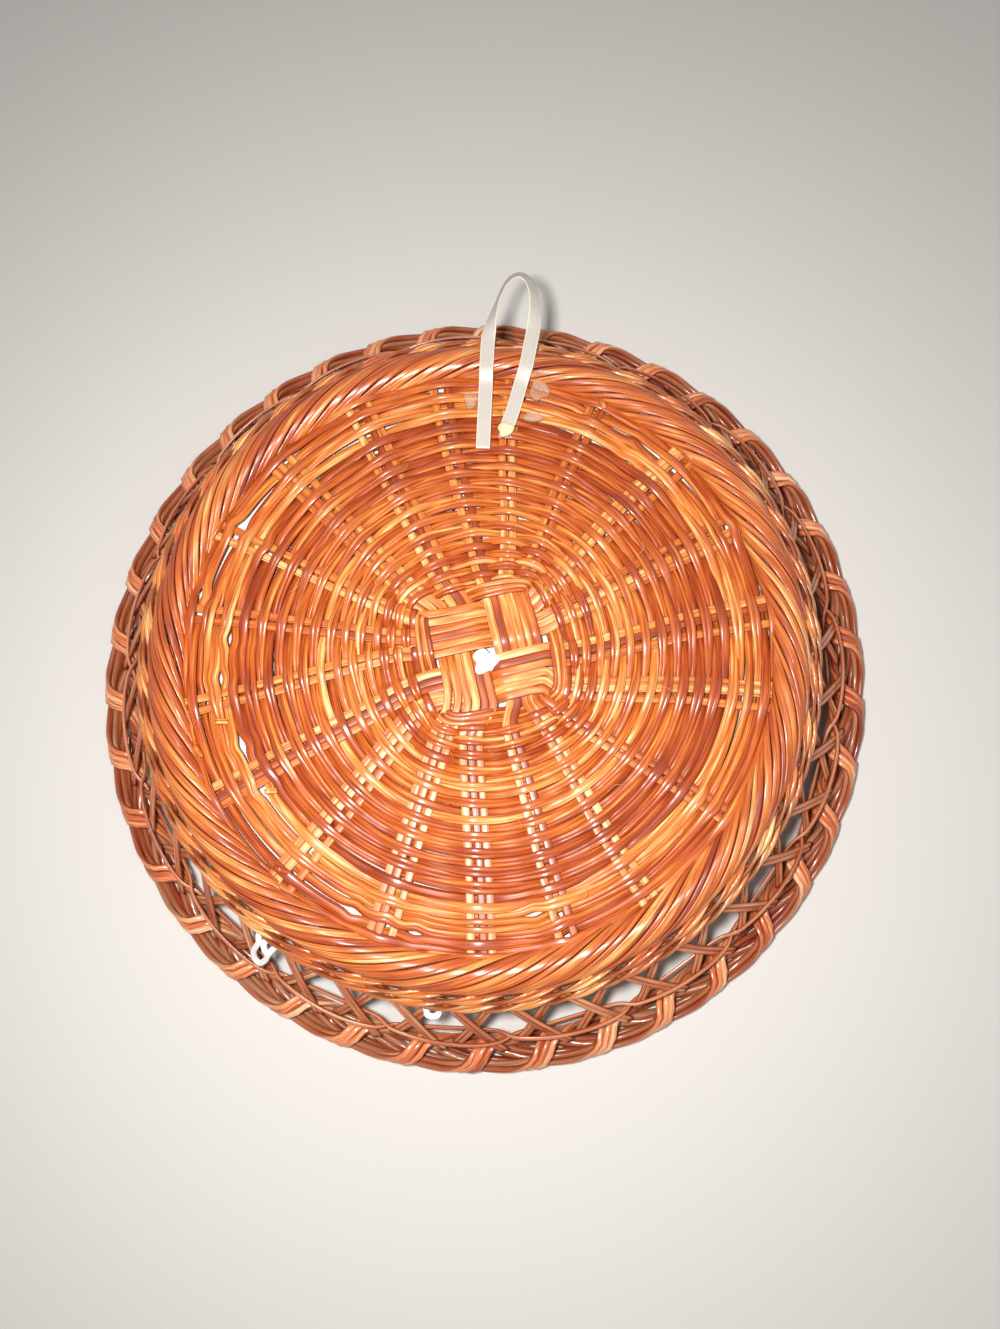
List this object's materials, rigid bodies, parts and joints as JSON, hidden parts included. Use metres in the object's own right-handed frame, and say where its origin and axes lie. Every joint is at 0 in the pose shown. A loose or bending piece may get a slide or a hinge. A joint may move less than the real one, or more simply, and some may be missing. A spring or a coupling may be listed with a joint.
{
  "type": "wall basket",
  "caption": "Shallow round wicker basket with roped rim, openwork side, woven back, lace lining and a glued ribbon loop for hanging it on a wall.",
  "frame": {"origin": "centre of the basket's box on the surface that the rim rests on, face down", "axes": "+Z out of the woven back, +Y toward the hanging loop, +X to the right in the picture"},
  "size_m": [0.284, 0.285, 0.0528],
  "materials": {
    "golden_reed": "glossy amber varnish",
    "brown_reed": "glossy brown varnish",
    "red_reed": "glossy dark red varnish",
    "pale_reed": "glossy pale gold varnish",
    "white_lace": "soft cotton lace",
    "ribbon": "satin with a glittery face",
    "clear_glue": "clear glossy glue"
  },
  "bodies": {
    "basket": {"rim_border": "brown_reed", "foot_border": "golden_reed", "right_leaning_stakes": "brown_reed", "left_leaning_stakes": "brown_reed", "twined_pair": "golden_reed", "spoke_reed_upper_1": "pale_reed", "spoke_reed_upper_2": "red_reed", "spoke_reed_upper_3": "pale_reed", "spoke_reed_upper_4": "pale_reed", "spoke_reed_upper_5": "red_reed", "spoke_reed_upper_6": "pale_reed", "spoke_reed_lower_1": "pale_reed", "spoke_reed_lower_2": "red_reed", "spoke_reed_lower_3": "pale_reed", "spoke_reed_lower_4": "pale_reed", "spoke_reed_lower_5": "red_reed", "spoke_reed_lower_6": "pale_reed", "spoke_reed_right_1": "pale_reed", "spoke_reed_right_2": "red_reed", "spoke_reed_right_3": "pale_reed", "spoke_reed_right_4": "pale_reed", "spoke_reed_right_5": "red_reed", "spoke_reed_right_6": "pale_reed", "spoke_reed_left_1": "pale_reed", "spoke_reed_left_2": "red_reed", "spoke_reed_left_3": "pale_reed", "spoke_reed_left_4": "pale_reed", "spoke_reed_left_5": "red_reed", "spoke_reed_left_6": "pale_reed", "weaver_1": "golden_reed", "weaver_2": "golden_reed", "weaver_3": "golden_reed", "lace_doily": "white_lace", "ribbon_tail_left": "ribbon", "ribbon_tail_right": "ribbon", "glue_on_right_tail": "clear_glue", "glue_beside_right_tail": "clear_glue", "glue_beside_left_tail": "clear_glue"},
    "hanger": {"ribbon_loop": "ribbon"}
  },
  "joints": [
    {"name": "loop_fold", "type": "hinge", "parent": "basket", "child": "hanger", "pos_m": [0.0094, 0.09679, 0.04725], "axis": [1, 0, 0], "range_deg": [0, 150]}
  ]
}
